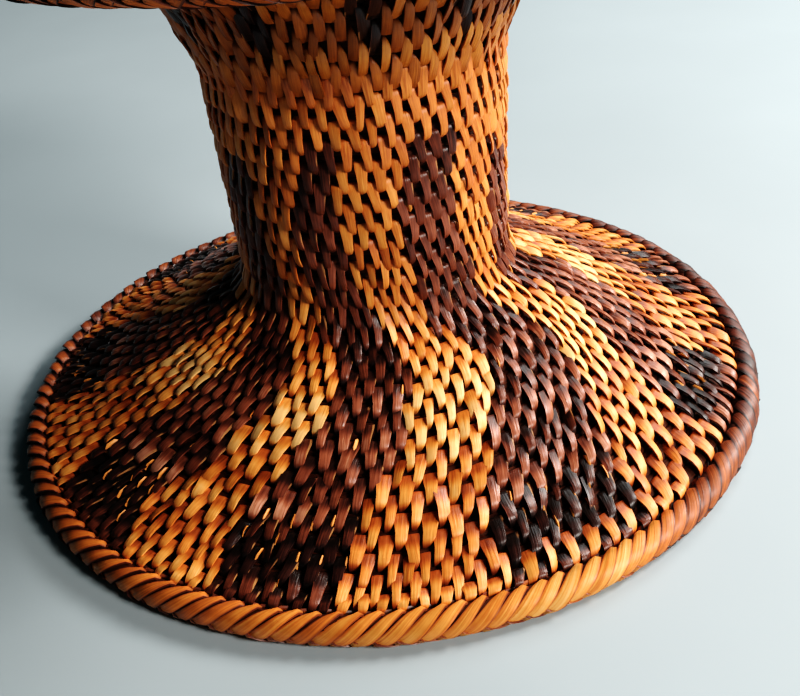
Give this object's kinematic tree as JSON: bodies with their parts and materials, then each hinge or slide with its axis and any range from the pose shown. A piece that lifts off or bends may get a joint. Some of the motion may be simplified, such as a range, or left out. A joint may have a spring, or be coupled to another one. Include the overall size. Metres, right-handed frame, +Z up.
{
  "type": "goblet basket",
  "caption": "Coiled goblet basket with a flaring foot, a narrow hollow stem and a shallow flaring bowl, sewn in light and dyed splints.",
  "frame": {"origin": "centre of the foot's resting circle, on the surface that the basket stands on", "axes": "+Z up along the axis of the stem, -Y towards the front of the picture"},
  "size_m": [0.24, 0.24, 0.1579],
  "materials": {
    "coil_grass": "dry grass and root, matt",
    "light_splint": "split root, honey to orange, low sheen",
    "dyed_splint": "dyed split root, brown-black, low sheen",
    "binding_splint": "split root, orange-brown, low sheen"
  },
  "bodies": {
    "root": {"foot_rim_rod": "coil_grass", "foot_rim_binding": "binding_splint", "foot_coil": "coil_grass", "stem_coil": "coil_grass", "pedestal_light_splints": "light_splint", "pedestal_dyed_splints_01": "dyed_splint", "pedestal_dyed_splints_02": "dyed_splint", "pedestal_dyed_splints_03": "dyed_splint", "pedestal_dyed_splints_04": "dyed_splint", "pedestal_dyed_splints_05": "dyed_splint", "pedestal_dyed_splints_06": "dyed_splint", "pedestal_dyed_splints_07": "dyed_splint", "pedestal_dyed_splints_08": "dyed_splint", "pedestal_dyed_splints_09": "dyed_splint", "joining_row": "binding_splint", "bowl_floor_coil": "coil_grass", "bowl_floor_splints": "light_splint", "bowl_coil_start": "binding_splint", "bowl_coil": "coil_grass", "bowl_light_splints": "light_splint", "bowl_dyed_splints_01": "dyed_splint", "bowl_dyed_splints_02": "dyed_splint", "bowl_dyed_splints_03": "dyed_splint", "bowl_dyed_splints_04": "dyed_splint", "bowl_dyed_splints_05": "dyed_splint", "bowl_dyed_splints_06": "dyed_splint", "bowl_dyed_splints_07": "dyed_splint", "bowl_dyed_splints_08": "dyed_splint", "bowl_dyed_splints_09": "dyed_splint", "bowl_dyed_splints_10": "dyed_splint", "bowl_dyed_splints_11": "dyed_splint", "bowl_dyed_splints_12": "dyed_splint", "bowl_rim_rod": "coil_grass", "bowl_rim_binding": "binding_splint"}
  },
  "joints": []
}
